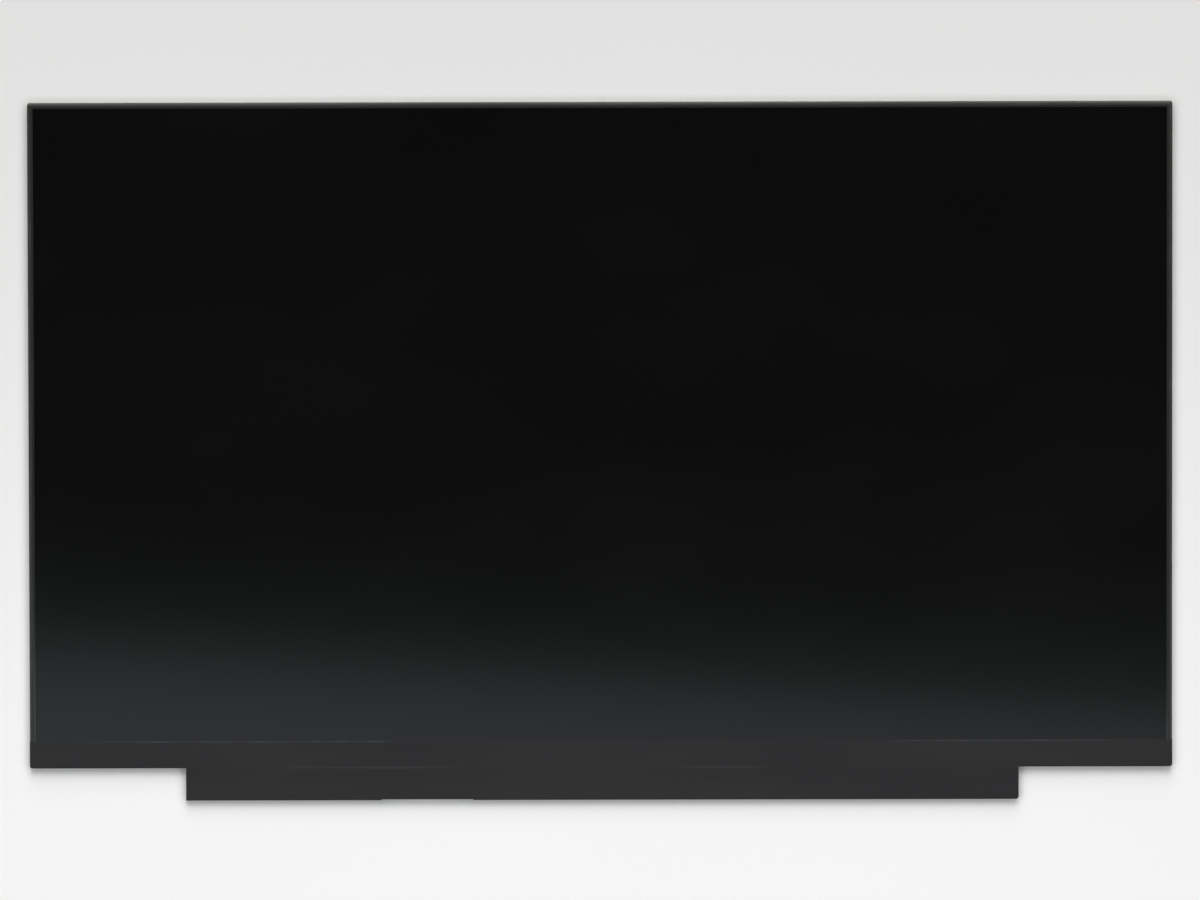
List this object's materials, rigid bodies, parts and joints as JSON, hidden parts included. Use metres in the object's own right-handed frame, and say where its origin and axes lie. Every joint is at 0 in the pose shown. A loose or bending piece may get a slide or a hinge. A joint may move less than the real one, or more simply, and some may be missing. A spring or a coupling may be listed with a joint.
{
  "type": "laptop screen panel",
  "caption": "Flat screen panel for a laptop lid: anti-glare screen and backlight in a thin moulded frame on a metal back plate, with a taped control board and signal socket below.",
  "frame": {"origin": "middle of the outline, on the plane that the back plate rests on", "axes": "+X to the viewer's right along the screen, +Y to the top of the picture, +Z out of the screen"},
  "size_m": [0.3508, 0.2162, 0.0026],
  "materials": {
    "plate_metal": "satin rolled sheet",
    "reflector_white": "matte white film",
    "guide_clear": "clear with a fine dot pattern",
    "diffuser_white": "milky film",
    "prism_clear": "clear ribbed film",
    "flex_white": "white coated flex",
    "led_white": "white package with a yellow window",
    "frame_grey": "fine moulded texture",
    "cell_tape_black": "thin black adhesive",
    "rear_film": "dark film",
    "cell_glass": "dark glass edge",
    "screen_film": "anti-glare",
    "driver_film": "amber film",
    "chip_black": "moulded package",
    "board_green": "solder mask",
    "inductor_grey": "sintered core",
    "capacitor_tan": "sintered body",
    "resistor_black": "coated body",
    "socket_ivory": "moulded",
    "shell_steel": "plated sheet",
    "contact_gold": "plated strip",
    "cover_black": "matte black tape"
  },
  "bodies": {
    "root": {"back_plate": "plate_metal", "reflector_sheet": "reflector_white", "light_guide": "guide_clear", "diffuser_sheet": "diffuser_white", "lower_prism_sheet": "prism_clear", "upper_prism_sheet": "prism_clear", "led_flex": "flex_white", "leds": "led_white", "mid_frame": "frame_grey", "cell_tape": "cell_tape_black", "rear_polariser": "rear_film", "array_glass": "cell_glass", "filter_glass": "cell_glass", "front_polariser": "screen_film", "driver_films": "driver_film", "driver_chips": "chip_black", "control_board": "board_green", "timing_chip": "chip_black", "power_chip": "chip_black", "backlight_chip": "chip_black", "memory_chip": "chip_black", "inductors": "inductor_grey", "capacitors": "capacitor_tan", "resistors": "resistor_black", "socket_body": "socket_ivory", "socket_shell": "shell_steel", "socket_contacts": "contact_gold", "cover_tape": "cover_black"}
  },
  "joints": []
}
